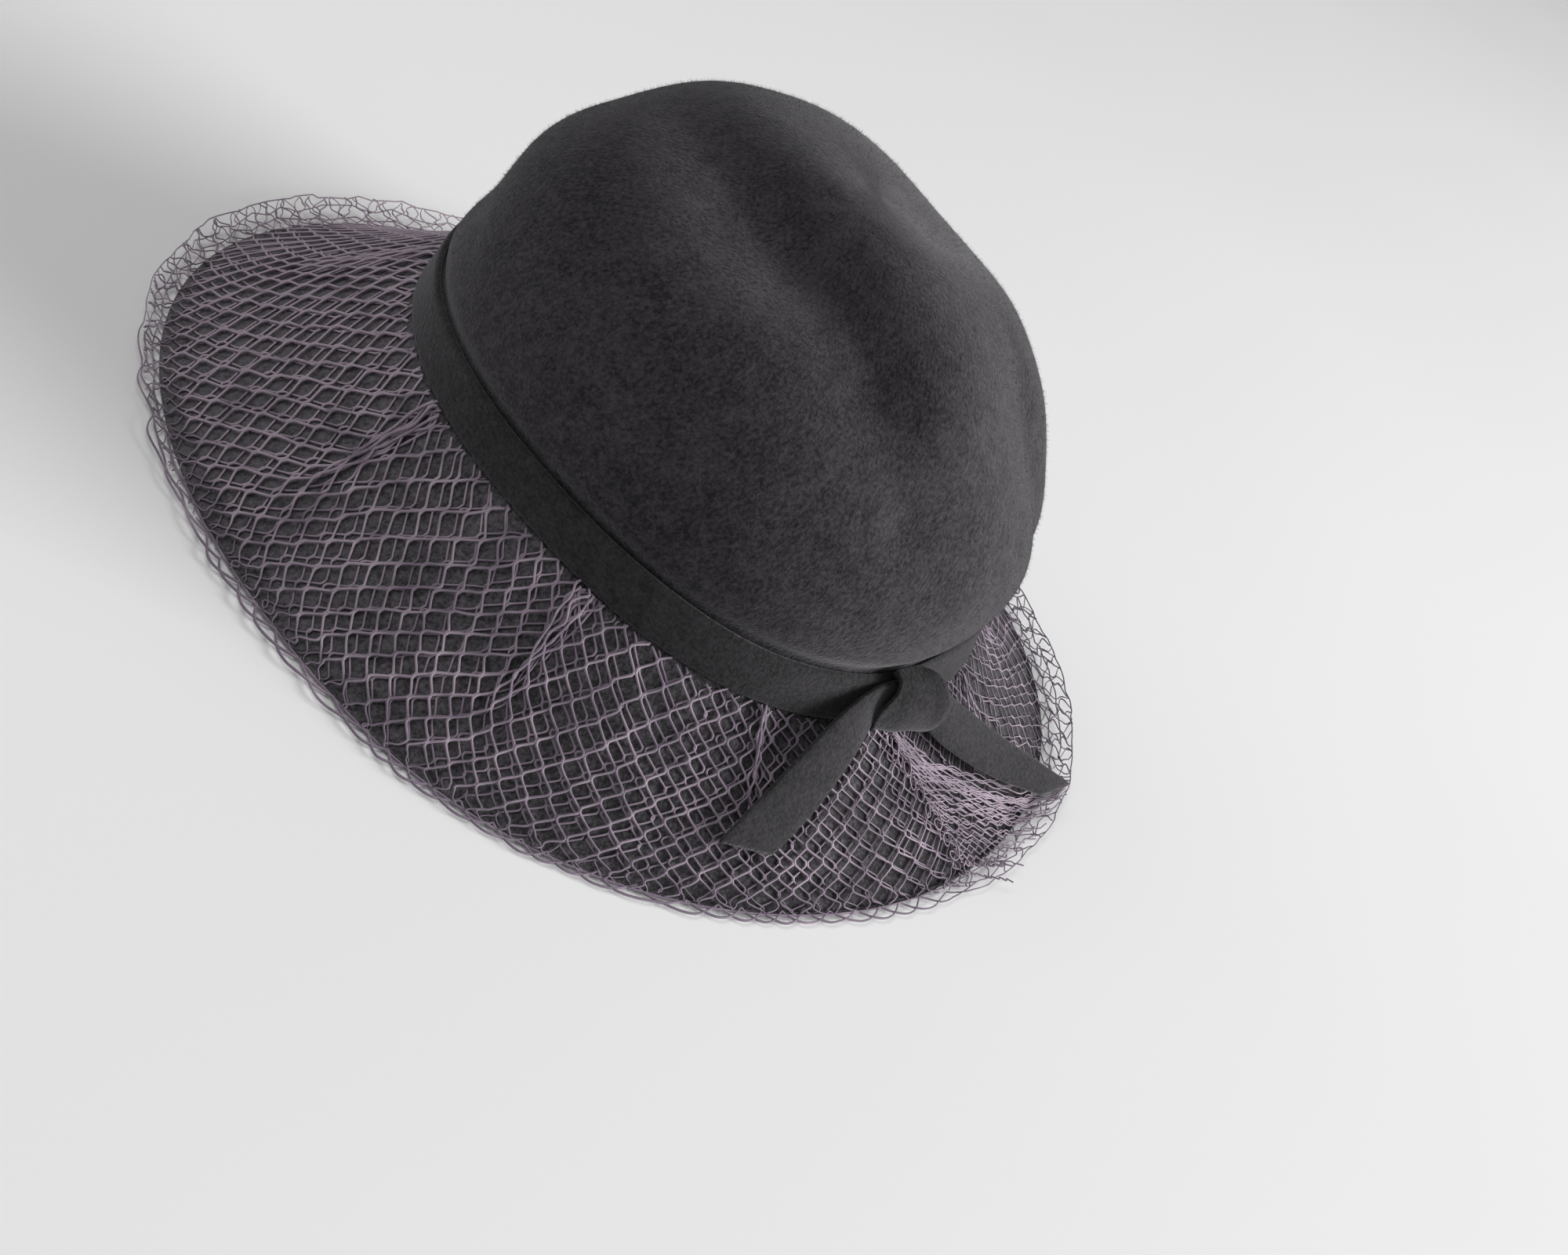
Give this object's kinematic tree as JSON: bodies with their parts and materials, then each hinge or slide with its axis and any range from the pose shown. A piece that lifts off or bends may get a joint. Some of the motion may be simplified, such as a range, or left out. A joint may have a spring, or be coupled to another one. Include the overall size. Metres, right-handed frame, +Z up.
{
  "type": "cocktail hat",
  "caption": "Dressy felt hat with a softly creased round crown, a brim that slopes down all round, a felt band tied behind and a coarse net veil laid over the brim.",
  "frame": {"origin": "on the surface the rim rests on, under the middle of the veil's outline", "axes": "+Z up, -Y to the front of the hat where the brim is longest, +X to the wearer's left"},
  "size_m": [0.3108, 0.3412, 0.1523],
  "materials": {
    "felt": "matte, short nap",
    "strip_felt": "matte, short nap",
    "net": "stiff net, slight sheen"
  },
  "bodies": {
    "root": {"crown": "felt", "brim": "felt", "band": "strip_felt", "bow_knot": "strip_felt", "bow_tail_left": "strip_felt", "bow_tail_right": "strip_felt", "net_veil": "net"}
  },
  "joints": []
}
